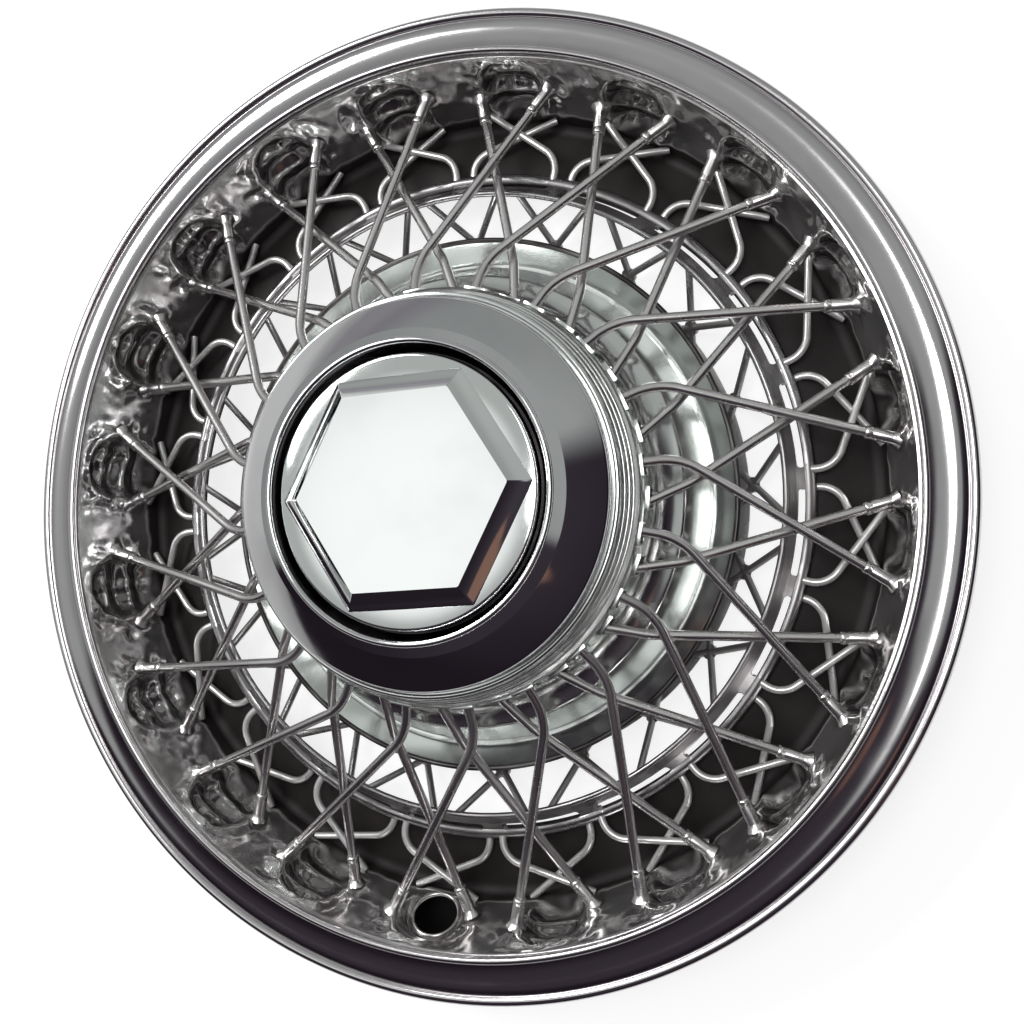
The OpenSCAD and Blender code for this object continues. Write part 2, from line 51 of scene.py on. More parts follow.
toward = Vector((math.sin(lean) * math.cos(lean_turn), math.sin(lean) * math.sin(lean_turn), math.cos(lean)))
right = (Vector((1, 0, 0)) - toward * toward.x).normalized()
up = toward.cross(right)
bpy.ops.object.select_all(action="DESELECT")
bpy.ops.object.camera_add()
camera = bpy.context.object
camera.data.lens = 49.31
camera.data.sensor_width = 36
camera.data.clip_start = 0.01
place = Vector((0, 0, edge_height)) + right * aim_right + up * aim_up + toward * camera_distance
camera.matrix_world = Matrix.Translation(place) @ Matrix((right, up, toward)).transposed().to_4x4()
bpy.context.scene.camera = camera
bpy.context.scene.view_settings.view_transform = "Standard"


# The floor: a sheet of white paper. The camera and the chrome see it nearly white by
# itself, and it keeps the cover's soft shadow.
def new_material(name):
    material = bpy.data.materials.new(name)
    material.use_nodes = True
    return material, material.node_tree.nodes, material.node_tree.links


def math_node(tree, operation, a, b=0.5):
    node = tree.nodes.new("ShaderNodeMath")
    node.operation = operation
    for socket, value in zip(node.inputs, (a, b)):
        if isinstance(value, (int, float)):
            socket.default_value = value
        else:
            tree.links.new(value, socket)
    return node.outputs[0]


def span(tree, value, low, high):
    node = tree.nodes.new("ShaderNodeMapRange")
    node.interpolation_type = "SMOOTHSTEP"
    node.inputs["From Min"].default_value = low
    node.inputs["From Max"].default_value = high
    tree.links.new(value, node.inputs["Value"])
    return node.outputs["Result"]


def radius_from(tree, vector):
    parts = tree.nodes.new("ShaderNodeSeparateXYZ")
    tree.links.new(vector, parts.inputs[0])
    squares = [math_node(tree, "MULTIPLY", parts.outputs[k], parts.outputs[k]) for k in (0, 1)]
    return math_node(tree, "SQRT", math_node(tree, "ADD", squares[0], squares[1])), parts.outputs[2]


def blend_colour(tree, factor, first, second):
    node = tree.nodes.new("ShaderNodeMix")
    node.data_type = "RGBA"
    for socket, value in zip((node.inputs["Factor"], node.inputs["A"], node.inputs["B"]), (factor, first, second)):
        if isinstance(value, (int, float, tuple)):
            socket.default_value = value
        else:
            tree.links.new(value, socket)
    return node.outputs["Result"]


bpy.ops.mesh.primitive_plane_add(size=30, location=(0, 0, -0.0005))
floor = bpy.context.object
floor.name = "paper_floor"
paper, nds, links = new_material("white_paper")
tree = paper.node_tree
rays = nds.new("ShaderNodeLightPath")
floor_place = nds.new("ShaderNodeTexCoord").outputs["Object"]
floor_radius = radius_from(tree, floor_place)[0]

# Painted shade in the reflections: the glow that the chrome sees on the floor is dimmed under the cover and far away
# from it.
open_floor = math_node(tree, "MAXIMUM", span(tree, floor_radius, 0.19, 0.204), 0.3)
near_floor = math_node(tree, "MAXIMUM", span(tree, floor_radius, 0.7, 0.32), 0.36)
open_floor = math_node(tree, "MULTIPLY", open_floor, near_floor)
mirrored = math_node(tree, "MULTIPLY", rays.outputs["Is Glossy Ray"], open_floor)
seen = math_node(tree, "MAXIMUM", rays.outputs["Is Camera Ray"], mirrored)

# Painted shade on the paper: grey under the bowl, and a black painted shadow where it shows through the valve hole.
inside_bowl = span(tree, floor_radius, 0.150, 0.148)
outside_bowl = span(tree, floor_radius, 0.178, 0.193)
unshaded_paper = math_node(tree, "MAXIMUM", math_node(tree, "MAXIMUM", inside_bowl, outside_bowl), 0.3)
below_valve = nds.new("ShaderNodeVectorMath")
below_valve.operation = "DISTANCE"
below_valve.inputs[1].default_value = (-0.0255, -0.181, 0)
links.new(floor_place, below_valve.inputs[0])
past_valve = span(tree, below_valve.outputs["Value"], 0.0135, 0.0165)
past_valve = math_node(tree, "MAXIMUM", past_valve, span(tree, floor_radius, 0.192, 0.195))
unshaded_paper = math_node(tree, "MINIMUM", unshaded_paper, past_valve)

shader = nds["Principled BSDF"]
shader.inputs["Roughness"].default_value = 0.9
shader.inputs["Specular IOR Level"].default_value = 0.1
shader.inputs["Emission Color"].default_value = (1, 1, 1, 1)
# The painted shade darkens both the paper's colour and its glow.
links.new(blend_colour(tree, unshaded_paper, (0.012, 0.011, 0.011, 1), (0.3, 0.3, 0.3, 1)), shader.inputs["Base Color"])
glow = math_node(tree, "MULTIPLY", math_node(tree, "MULTIPLY", seen, unshaded_paper), 0.82)
links.new(glow, shader.inputs["Emission Strength"])
floor.data.materials.append(paper)

# The room: a white ceiling, pale grey walls, and a dark side in front and to the right,
# which gives the chrome its black edges. Two soft boxes add the cover's soft shadow.
world = bpy.context.scene.world or bpy.data.worlds.new("studio")
bpy.context.scene.world = world
world.use_nodes = True
room = world.node_tree
room.nodes.clear()
ray = room.nodes.new("ShaderNodeTexCoord")
axes = room.nodes.new("ShaderNodeSeparateXYZ")
room.links.new(ray.outputs["Generated"], axes.inputs[0])
ray_x, ray_y, ray_z = (axes.outputs[name] for name in "XYZ")

walls = span(room, ray_z, 0.6, 0.34)
low_walls = span(room, ray_z, 0.24, 0.08)
above_floor = math_node(room, "ABSOLUTE", math_node(room, "SUBTRACT", ray_z, 0.04))
lamp_glow = math_node(room, "MULTIPLY", span(room, above_floor, 0.07, 0.02), 0.5)
sky = blend_colour(room, walls, (0.5, 0.52, 0.51, 1), (0.4, 0.42, 0.41, 1))
sky = blend_colour(room, low_walls, sky, (0.3, 0.285, 0.315, 1))
sky = blend_colour(room, lamp_glow, sky, (0.42, 0.41, 0.43, 1))


def towards(direction):
    """How nearly a ray points in a direction of the room."""
    node = room.nodes.new("ShaderNodeVectorMath")
    node.operation = "DOT_PRODUCT"
    room.links.new(ray.outputs["Generated"], node.inputs[0])
    node.inputs[1].default_value = Vector(direction).normalized()
    return node.outputs["Value"]


bright_ceiling = span(room, towards((-0.385, 0.027, 0.92)), 0.982, 0.9992)
sky = blend_colour(room, bright_ceiling, sky, (1.26, 1.28, 1.27, 1))

south_east = math_node(room, "ADD", math_node(room, "MULTIPLY", ray_x, 0.62), math_node(room, "MULTIPLY", ray_y, -0.78))
dark_side = math_node(room, "MULTIPLY", span(room, south_east, 0.02, 0.3), span(room, ray_z, 0.8, 0.66))
dark_side = math_node(room, "MAXIMUM", dark_side, span(room, ray_y, -0.17, -0.27))
night = blend_colour(room, span(room, ray_z, 0.3, 0.75), (0.02, 0.014, 0.021, 1), (0.055, 0.044, 0.058, 1))
brown_patch = span(room, towards((0.53, -0.47, 0.68)), 0.9935, 0.9955)
sky = blend_colour(room, dark_side, sky, night)
sky = blend_colour(room, brown_patch, sky, (0.27, 0.15, 0.115, 1))

under_horizon = span(room, ray_z, -0.02, -0.12)
seen_direct = room.nodes.new("ShaderNodeLightPath").outputs["Is Camera Ray"]
sky = blend_colour(room, under_horizon, sky, (0.6, 0.6, 0.6, 1))
sky = blend_colour(room, seen_direct, sky, (1.17, 1.17, 1.17, 1))
backdrop = room.nodes.new("ShaderNodeBackground")
room.links.new(sky, backdrop.inputs["Color"])
backdrop.inputs["Strength"].default_value = 0.85
room.links.new(backdrop.outputs[0], room.nodes.new("ShaderNodeOutputWorld").inputs["Surface"])


def softbox(name, place, aim, width, height, power):
    bpy.ops.object.light_add(type="AREA", location=place)
    lamp = bpy.context.object
    lamp.name = name
    lamp.data.shape = "RECTANGLE"
    lamp.data.size = width
    lamp.data.size_y = height
    lamp.data.energy = power
    lamp.rotation_euler = (Vector(aim) - Vector(place)).to_track_quat("-Z", "Y").to_euler()


softbox("softbox_left", (-1.1, 0.7, 1.5), (0, 0, 0.05), 0.9, 0.6, 22)
softbox("softbox_over", (0.1, 0.2, 1.9), (0, 0, 0.05), 0.7, 0.7, 12)


# Trim ring: one polished stainless pressing. Its outer edge is rolled round a wire, the
# crown falls into a hollow cove, and the inner edge ends in a rolled bead.
def polish_group():
    group = bpy.data.node_groups.new("wheel_polish", "ShaderNodeTree")
    for name, value in (("Base", 0.05), ("Haze", 0.08), ("Ring Depth", 0.02), ("Dent Depth", 0.0)):
        socket = group.interface.new_socket(name, in_out="INPUT", socket_type="NodeSocketFloat")
        socket.default_value = value
    group.interface.new_socket("Roughness", in_out="OUTPUT", socket_type="NodeSocketFloat")
    group.interface.new_socket("Height", in_out="OUTPUT", socket_type="NodeSocketFloat")
    group.interface.new_socket("Stain", in_out="OUTPUT", socket_type="NodeSocketFloat")
    inside = group.nodes.new("NodeGroupInput")
    outside = group.nodes.new("NodeGroupOutput")
    coords = group.nodes.new("ShaderNodeTexCoord")
    clouds = group.nodes.new("ShaderNodeTexNoise")
    clouds.inputs["Scale"].default_value = 24
    clouds.inputs["Detail"].default_value = 5
    group.links.new(coords.outputs["Object"], clouds.inputs["Vector"])
    cloudy = span(group, clouds.outputs["Fac"], 0.42, 0.75)
    group.links.new(cloudy, outside.inputs["Stain"])
    spread = math_node(group, "MULTIPLY", cloudy, inside.outputs["Haze"])
    group.links.new(math_node(group, "ADD", spread, inside.outputs["Base"]), outside.inputs["Roughness"])
    radius = radius_from(group, coords.outputs["Object"])[0]
    lines = group.nodes.new("ShaderNodeTexNoise")
    lines.noise_dimensions = "1D"
    lines.inputs["Scale"].default_value = 2500
    group.links.new(radius, lines.inputs["W"])
    dents = group.nodes.new("ShaderNodeTexNoise")
    dents.inputs["Scale"].default_value = 55
    dents.inputs["Detail"].default_value = 2
    group.links.new(coords.outputs["Object"], dents.inputs["Vector"])
    rings = math_node(group, "MULTIPLY", lines.outputs["Fac"], inside.outputs["Ring Depth"])
    ripple = math_node(group, "MULTIPLY", dents.outputs["Fac"], inside.outputs["Dent Depth"])
    group.links.new(math_node(group, "ADD", rings, ripple), outside.inputs["Height"])
    return group


polish = polish_group()


def metal(name, colour, stain, base, haze, rings=0.02, dents=0.0, bump=0.1, metallic=1):
    material, nds, links = new_material(name)
    shader = nds["Principled BSDF"]
    shader.inputs["Metallic"].default_value = metallic
    finish = nds.new("ShaderNodeGroup")
    finish.node_tree = polish
    finish.inputs["Base"].default_value = base
    finish.inputs["Haze"].default_value = haze
    finish.inputs["Ring Depth"].default_value = rings
    finish.inputs["Dent Depth"].default_value = dents
    links.new(blend_colour(material.node_tree, finish.outputs["Stain"], (*colour, 1), (*stain, 1)),
              shader.inputs["Base Color"])
    links.new(finish.outputs["Roughness"], shader.inputs["Roughness"])
    relief = nds.new("ShaderNodeBump")
    relief.inputs["Strength"].default_value = bump
    relief.inputs["Distance"].default_value = 0.0004
    links.new(finish.outputs["Height"], relief.inputs["Height"])
    links.new(relief.outputs["Normal"], shader.inputs["Normal"])
    return material


def arc(centre, radius, start, end, count):
    angles = [math.radians(start + (end - start) * i / count) for i in range(count + 1)]
    return [(centre[0] + radius * math.cos(a), centre[1] + radius * math.sin(a)) for a in angles]


def turned(name, path, thickness, steps=256):
    """Turn a path of (radius, height) in millimetres into a sheet that lies behind it."""
    (first_r, first_z), rest = path[0], path[1:]
    bpy.ops.object.select_all(action="DESELECT")
    bpy.ops.mesh.primitive_circle_add(vertices=steps, radius=first_r / 1000,
                                      location=(0, 0, edge_height + first_z / 1000))
    bpy.ops.object.transform_apply(location=True)
    piece = bpy.context.object
    piece.name = name
    bpy.ops.object.mode_set(mode="EDIT")
    for (r0, z0), (r1, z1) in zip(path, rest):
        bpy.ops.mesh.extrude_region_move(TRANSFORM_OT_translate={"value": (0, 0, (z1 - z0) / 1000)})
        bpy.ops.transform.resize(value=(r1 / r0, r1 / r0, 1), center_override=(0, 0, edge_height + z1 / 1000))
    bpy.ops.object.mode_set(mode="OBJECT")
    if sum(face.normal.z for face in piece.data.polygons) < 0:
        piece.data.flip_normals()
    wall = piece.modifiers.new("sheet", "SOLIDIFY")
    wall.thickness = thickness / 1000
    wall.offset = -1
    bpy.ops.object.modifier_apply(modifier=wall.name)
    return piece


def rolled(radius, height, roll, steps=256):
    bpy.ops.mesh.primitive_torus_add(major_radius=radius / 1000, minor_radius=roll / 1000, major_segments=steps,
                                     minor_segments=16, location=(0, 0, edge_height + height / 1000))
    return bpy.context.object


def selected_only(piece):
    bpy.ops.object.select_all(action="DESELECT")
    piece.select_set(True)
    bpy.context.view_layer.objects.active = piece


def join(name, pieces):
    bpy.ops.object.select_all(action="DESELECT")
    for piece in pieces:
        piece.select_set(True)
    bpy.context.view_layer.objects.active = pieces[0]
    bpy.ops.object.join()
    piece = bpy.context.object
    piece.name = name
    bpy.ops.object.transform_apply(location=True, rotation=True, scale=True)
    return piece


def finish_piece(piece, material, slot, *replaced, smooth=35):
    piece.data.materials.clear()
    piece.data.materials.append(material)
    selected_only(piece)
    bpy.ops.object.shade_smooth_by_angle(angle=math.radians(smooth))
    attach(piece, "root")
    if replaced:
        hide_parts(*replaced)


polished_steel = metal("polished_trim_steel", (0.62, 0.6, 0.61), (0.53, 0.51, 0.52), 0.13, 0.09)
crown = arc((193.7, -4.7), 7.1, 20, 90, 10)
cove = arc((193.7, 19.28), 16.88, 270, 238, 14)
trim = join("trim_ring_sheet", [turned("trim_sheet", crown + cove[1:], 1),
                                rolled(200.8, -1.1, 2.2), rolled(183.9, 4.2, 1.6)])
finish_piece(trim, polished_steel, "polished_trim", "trim_ring")


# Bowl: bright steel, deep drawn, with twenty pockets pressed out through its wall. The
# metal is crinkled in and round each pocket, and one holds the valve's hole with a rolled
# lip. Its floor and the foot of its wall are sprayed dark brown.
wall_foot_radius = 165.3
wall_foot_height = -40.4
wall_run = 16
wall_rise = 43


def wall_point(share):
    return (wall_foot_radius + wall_run * share, wall_foot_height + wall_rise * share)


wall_rings = 44
bowl_path = [(186.8, 2.6), (184, 2.6)] + [wall_point(1 - i / wall_rings) for i in range(wall_rings - 3)]
bowl_path += arc((163.4, -33.9), 5, -20, -114, 8) + [(152, -34.4), (141.8, -29.9), (136.2, -29.9)]
bowl = turned("bowl_shell", bowl_path, 1, 800)

first_pocket = 12.9
pocket_turns = [first_pocket + 18 * i for i in range(20)]
pocket_turn = math.radians(first_pocket)
pocket_pitch = math.radians(18)
pocket_ball = 17
pocket_depth = 6.2
wall_length = math.hypot(wall_run, wall_rise)
wall_up = Vector((wall_run, 0, wall_rise)).normalized()
wall_out = Vector((wall_rise, 0, -wall_run)).normalized()


def pressed(turn, along):
    """How far the wall is pushed out at a turn and a place along its slope, in millimetres,
    and how much painted shade darkens it inside a pocket, from 0 to 1; the crests of its folds are left bright as
    painted highlights."""
    number = round((turn - pocket_turn) / pocket_pitch)
    across = (turn - pocket_turn - number * pocket_pitch) * 173
    past = max(abs(along - wall_length / 2 - 1) - 5, 0)
    rho = math.hypot(across, past)
    core = math.sqrt(max(pocket_ball * pocket_ball - rho * rho, 0)) - 11
    pocket = pocket_depth * math.tanh((core + math.sqrt(core * core + 0.5)) / 8.4) if core > -6 else 0
    lip = -0.9 * math.exp(-((rho - 14.6) / 1.5) ** 2)
    crumple = noise.noise(Vector((across * 0.16, along * 0.11, number * 7.3)))
    crease = noise.noise(Vector((across * 0.34, along * 0.2, number * 3.1 + 40)))
    near = math.exp(-((rho - 17) / 7) ** 2)
    inside = max(0, 1 - (rho / 14.5) ** 2)
    fold = noise.noise(Vector((across * 0.2, along * 0.06, number * 5.7 + 90)))
    petal = math.cos((along - wall_length / 2 + 2.5 + 3 * fold) * math.tau / 12.5)
    push = pocket + lip + near * (1.5 * crumple + 0.8 * crease) + inside * (1.4 * fold - 1.5 * petal)
    return push, inside * (1 - (0.5 + 0.5 * petal) ** 2)


valve_turn = pocket_turn + 14 * pocket_pitch
valve_slope = math.radians(46)
valve_radius = 9.5
valve_seat = Vector((174.5 * math.cos(valve_turn), 174.5 * math.sin(valve_turn), 24))
valve_aim = Vector((-math.cos(valve_turn) * math.cos(valve_slope), -math.sin(valve_turn) * math.cos(valve_slope),
                    math.sin(valve_slope)))

shade = bowl.data.attributes.new("pocket_shade", "FLOAT", "POINT")
for vertex in bowl.data.vertices:
    x, y, z = vertex.co * 1000
    radius = math.hypot(x, y)
    local = Vector((radius - wall_foot_radius, 0, z - 1000 * edge_height - wall_foot_height))
    along = local.dot(wall_up)
    if abs(local.dot(wall_out)) > 1.5 or along < 4 or along > wall_length - 0.5:
        continue
    fade = min(1, (along - 4) / 4) * min(1, (wall_length - 0.5 - along) / 3)
    push, dark = pressed(math.atan2(y, x), along)
    shade.data[vertex.index].value = dark
    push *= fade
    flat = Vector((x, y, 0)) / radius
    vertex.co += (flat * wall_out.x + Vector((0, 0, wall_out.z))) * push / 1000

    # The wall is drawn flat round the valve's hole.
    from_seat = vertex.co * 1000 - valve_seat
    rise = from_seat.dot(valve_aim)
    aside = (from_seat - valve_aim * rise).length
    if aside < 17 and abs(rise) < 14:
        hold = min(1, (17 - aside) / 5) * fade
        vertex.co -= valve_aim * (rise + max(0, local.dot(wall_out))) * hold / 1000



def cut(piece, cutter):
    selected_only(piece)
    trim_away = piece.modifiers.new("cut", "BOOLEAN")
    trim_away.object = cutter
    bpy.ops.object.modifier_apply(modifier=trim_away.name)


valve_turned = valve_aim.to_track_quat("Z", "Y").to_euler()
bpy.ops.object.select_all(action="DESELECT")
bpy.ops.mesh.primitive_torus_add(major_radius=(valve_radius + 0.4) / 1000, minor_radius=0.0008, major_segments=72,
                                 minor_segments=12, location=valve_seat / 1000, rotation=valve_turned)
valve_lip = bpy.context.object
bpy.ops.mesh.primitive_cylinder_add(vertices=72, radius=valve_radius / 1000, depth=0.024, location=valve_seat / 1000,
                                    rotation=valve_turned)
valve_punch = bpy.context.object
cut(bowl, valve_punch)
bpy.data.objects.remove(valve_punch)
bowl = join("bowl_shell", [bowl, valve_lip])

bowl_paint, nds, links = new_material("bowl_steel_and_paint")
tree = bowl_paint.node_tree
shader = nds["Principled BSDF"]
coords = nds.new("ShaderNodeTexCoord").outputs["Object"]
wave = nds.new("ShaderNodeTexNoise")
wave.inputs["Scale"].default_value = 38
wave.inputs["Detail"].default_value = 4
links.new(coords, wave.inputs["Vector"])
bowl_radius, bowl_height = radius_from(tree, coords)
paint_line = math_node(tree, "ADD", bowl_height, math_node(tree, "MULTIPLY", wave.outputs["Fac"], 0.006))
painted = math_node(tree, "MAXIMUM", span(tree, paint_line, 0.0195, 0.0165), span(tree, bowl_radius, 0.158, 0.155))
steel_tint = blend_colour(tree, span(tree, wave.outputs["Fac"], 0.35, 0.7), (0.7, 0.69, 0.69, 1),
                          (0.42, 0.4, 0.395, 1))
# Painted shade and highlight in the pockets: their grooves are darkened and their fold crests left bright; part of this
# dark stands for the dark paint inside them.
pocket_shade = nds.new("ShaderNodeAttribute")
pocket_shade.attribute_name = "pocket_shade"
in_pocket = span(tree, pocket_shade.outputs["Fac"], 0.05, 0.4)
shaded_tint = blend_colour(tree, math_node(tree, "MULTIPLY", in_pocket, 0.68), steel_tint, (0.08, 0.07, 0.07, 1))
links.new(blend_colour(tree, painted, shaded_tint, (0.017, 0.0135, 0.0135, 1)), shader.inputs["Base Color"])
links.new(span(tree, painted, 1.0, -0.18), shader.inputs["Metallic"])
bare_rough = math_node(tree, "ADD", math_node(tree, "MULTIPLY", wave.outputs["Fac"], 0.16), 0.09)
links.new(math_node(tree, "ADD", math_node(tree, "MULTIPLY", painted, 0.36), bare_rough), shader.inputs["Roughness"])
shader.inputs["Specular IOR Level"].default_value = 0.22
grain = nds.new("ShaderNodeTexNoise")
grain.inputs["Scale"].default_value = 900
links.new(coords, grain.inputs["Vector"])
relief = nds.new("ShaderNodeBump")
relief.inputs["Strength"].default_value = 0.15
relief.inputs["Distance"].default_value = 0.0002
links.new(grain.outputs["Fac"], relief.inputs["Height"])
links.new(relief.outputs["Normal"], shader.inputs["Normal"])
finish_piece(bowl, bowl_paint, "pressed_bowl", "bowl", smooth=50)


# Retaining ring, hub base, spoke band and cap spring: spring steel and plain plate at
# the back, as pressed. The solids of the frame stay and only get their finish here.
def finish_node(name, material):
    obj = nodes[name]
    obj.data.materials.clear()
    obj.data.materials.append(material)


spring_steel = metal("back_spring_steel", (0.075, 0.072, 0.075), (0.14, 0.12, 0.11), 0.3, 0.2, dents=0.4)
plate = metal("back_plate_steel", (0.46, 0.45, 0.46), (0.36, 0.34, 0.33), 0.24, 0.16)
for name in ("retaining_ring", "spoke_anchor", "cap_spring"):
    finish_node(name, spring_steel)
finish_node("hub_base", plate)

# Inner ring and rear lattice: dull grey steel. The ring is slotted between the welds of
# the short crossed wires, which run down behind the hub's dish.
dark_steel = metal("inner_ring_steel", (0.33, 0.32, 0.325), (0.22, 0.21, 0.21), 0.24, 0.16, dents=0.6)
lattice_steel = metal("lattice_wire_steel", (0.66, 0.645, 0.64), (0.5, 0.48, 0.475), 0.27, 0.16, dents=0.5)
finish_node("inner_ring", dark_steel)
finish_node("rear_lattice", lattice_steel)


# Short wires: bright wire hooks. Each leaves the inner ring's foot, bends round and runs
# across its neighbour to the wall of the bowl. One hook is bent up, and set out in rings.
def bent(a, corner, b, bend, steps=12):
    """Points of a wire from a to b with one round bend at the corner."""
    u = (corner - a).normalized()
    v = (b - corner).normalized()
    turn = u.angle(v)
    back = bend * math.tan(turn / 2)
    start = corner - u * back
    inward = (v - u * u.dot(v)).normalized()
    points = [a + (start - a) * i / 4 for i in range(4)]
    for i in range(steps + 1):
        angle = turn * i / steps
        points.append(start + u * bend * math.sin(angle) + inward * bend * (1 - math.cos(angle)))
    return points


def at(radius, turn, height):
    turn = math.radians(turn)
    return Vector((radius * math.cos(turn), radius * math.sin(turn), 1000 * edge_height + height))


def wall_radius_at(height):
    return wall_foot_radius + (height - wall_foot_height) * wall_run / wall_rise


def wire(name, points, widths, sides=14):
    """A round wire through the points, with its own width at each of them, in millimetres."""
    line = bpy.data.curves.new(name, "CURVE")
    line.dimensions = "3D"
    line.bevel_depth = 0.0005
    line.bevel_resolution = sides // 2 - 2
    line.use_fill_caps = True
    run = line.splines.new("POLY")
    run.points.add(len(points) - 1)
    for spot, point, width in zip(run.points, points, widths):
        spot.co = (*(point / 1000), 1)
        spot.radius = width
    piece = bpy.data.objects.new(name, line)
    bpy.context.collection.objects.link(piece)
    selected_only(piece)
    bpy.ops.object.convert(target="MESH")
    return bpy.context.object


def set_out(piece, turn):
    """A copy of the piece with its own mesh, turned about the axle by a number of degrees."""
    selected_only(piece)
    bpy.ops.object.duplicate(linked=False)
    copy = bpy.context.object
    copy.rotation_euler = (0, 0, math.radians(turn))
    bpy.ops.object.transform_apply(rotation=True)
    return copy


bright_wire = metal("short_wire_chrome", (0.66, 0.65, 0.645), (0.5, 0.485, 0.475), 0.24, 0.14, rings=0.0, dents=0.5,
                    metallic=0.6)
for name, hand, height in (("short_spokes_upper", 1, -25.35), ("short_spokes_lower", -1, -28.45)):
    end_height = height - 6.6
    root = at(139.6, -7.6 * hand, height)
    hook = at(149, -7.6 * hand, height)
    end = at(wall_radius_at(end_height), 4.9 * hand, end_height)
    route = bent(root, hook, end, 10.4) + [end]
    hook_wire = wire("hook", route, [3.1] * len(route))
    hooks = [set_out(hook_wire, turn) for turn in pocket_turns]
    bpy.data.objects.remove(hook_wire)
    finish_piece(join(name + "_wires", hooks), bright_wire, "chrome_wire", name)

# Hub dish: the chromed plate that the drum stands on, one pressing with its outer edge
# rolled over. Its cone falls from the rolled edge to the flat land round the drum.
chrome = metal("hub_chrome", (0.74, 0.76, 0.745), (0.58, 0.6, 0.585), 0.15, 0.12, rings=0.05, dents=0.8)
dish_path = [(111.2, -18.9), (109.5, -20.6), (104, -24), (102.6, -24.8)] + arc((101.2, -22.9), 2.8, -62, -90, 4)
finish_piece(turned("hub_dish_sheet", dish_path + [(71.5, -25.7)], 1), chrome, "chrome_hub", "hub_dish")
# Painted shade: the dish's rolled edge is coloured nearly black for the dark line of shade along it.
edge_painted_shade = metal("dish_edge_painted_shade", (0.05, 0.045, 0.045), (0.2, 0.19, 0.19), 0.3, 0.3)
finish_piece(join("dish_rolled_edge", [rolled(111.2, -20, 1.1)]), edge_painted_shade, "chrome_hub")


# Drum: a drawn chrome sleeve. It steps up from the dish, sweeps into the wall that the
# wires enter, and ends in a ribbed neck under a bead. Forty windows have raised collars.
def rounded(a, b, c, radius, count=6):
    """The corner b of the path a, b, c rounded to a radius."""
    a, b, c = Vector(a), Vector(b), Vector(c)
    u, v = (a - b).normalized(), (c - b).normalized()
    half = u.angle(v) / 2
    mid = b + (u + v).normalized() * radius / math.sin(half)
    p, q = b + u * radius / math.tan(half) - mid, b + v * radius / math.tan(half) - mid
    start = math.degrees(math.atan2(p.y, p.x))
    turn = (math.degrees(math.atan2(q.y, q.x)) - start + 180) % 360 - 180
    return arc(tuple(mid), radius, start, start + turn, count)


def soften(piece, width, steps=3, angle=30):
    selected_only(piece)
    edges = piece.modifiers.new("soft_edges", "BEVEL")
    edges.width = width
    edges.segments = steps
    edges.limit_method = "ANGLE"
    edges.angle_limit = math.radians(angle)
    bpy.ops.object.modifier_apply(modifier=edges.name)


def block(place, size):
    """A block at a radius along +X, in millimetres."""
    bpy.ops.object.select_all(action="DESELECT")
    bpy.ops.mesh.primitive_cube_add(size=0.001, location=(place / 1000, 0, 0))
    bpy.context.object.scale = size
    bpy.ops.object.transform_apply(location=True, scale=True)
    return bpy.context.object


drum_radius = 82.6
flare = arc((95.1, 6.9), 12.5, 255, 180, 16)
shoulder = (flare[0][0] + 1.26, flare[0][1] - 0.34)
drum_path = [(100, -25.7)] + rounded((100, -25.7), (100, -22), shoulder, 3.2)
drum_path += rounded((100, -22), shoulder, flare[0], 2.4) + flare[1:]
drum_path += [(82.6, 15), (82.6, 23.1), (82, 24), (80.7, 25.5)]
drum_path += [(77.9, 34.4), (77.6, 36.2), (77, 36.8), (70.6, 36.8)]
drum_sheet = turned("drum_sheet", drum_path, 1, 360)

collar = block(drum_radius + 0.3, (1.7, 9.2, 7))
window = block(drum_radius, (9, 7.4, 5.2))
soften(window, 0.0012)
cut(collar, window)
soften(collar, 0.00035)

collars, windows = [], []
for template, copies in ((collar, collars), (window, windows)):
    for side, height in ((-4.8, 18), (4.8, 10.6)):
        for turn in pocket_turns:
            copy = set_out(template, turn + side)
            copy.location.z = edge_height + height / 1000
            selected_only(copy)
            bpy.ops.object.transform_apply(location=True)
            copies.append(copy)
    bpy.data.objects.remove(template)
all_windows = join("all_windows", windows)
cut(drum_sheet, all_windows)
bpy.data.objects.remove(all_windows)
ribs = [rolled(radius, height, 0.6) for radius, height in ((80.6, 25.5), (79.7, 28.4), (78.7, 31.3))]
top_bead = rolled(77.4, 36.2, 1.2)
drum = join("hub_drum_sleeve", [drum_sheet] + collars + ribs + [top_bead])
finish_piece(drum, chrome, "chrome_hub", "hub_drum")


# Long wires: twenty in front and twenty behind, bent where they leave the drum. Each
# runs down to the bowl's wall, into a nipple that is crimped on and welded there.
def ring_at(name, place, aim, width, sides=16):
    bpy.ops.object.select_all(action="DESELECT")
    bpy.ops.mesh.primitive_circle_add(vertices=sides, radius=width / 2000, location=place / 1000,
                                      rotation=aim.to_track_quat("Z", "Y").to_euler(), fill_type="NGON")
    bpy.ops.object.transform_apply(location=True, rotation=True)
    bpy.context.object.name = name
    return bpy.context.object


def grow_ring(step, place, swell=1.0):
    bpy.ops.mesh.extrude_region_move(TRANSFORM_OT_translate={"value": step / 1000})
    if swell != 1.0:
        bpy.ops.transform.resize(value=(swell, swell, swell), center_override=place / 1000)


wire_width = 3.9
bend_radius = 26
# Length and width of each step of the nipple: neck, body, crimp, body and welded foot.
nipple_steps = [(0.4, 5.0), (0.35, 5.25), (1.5, 5.25), (0.3, 4.95), (0.5, 4.95), (0.3, 5.25), (6.9, 5.25),
                (0.5, 5.5), (0.9, 6.3), (0.9, 7.4), (0.9, 8.6)]


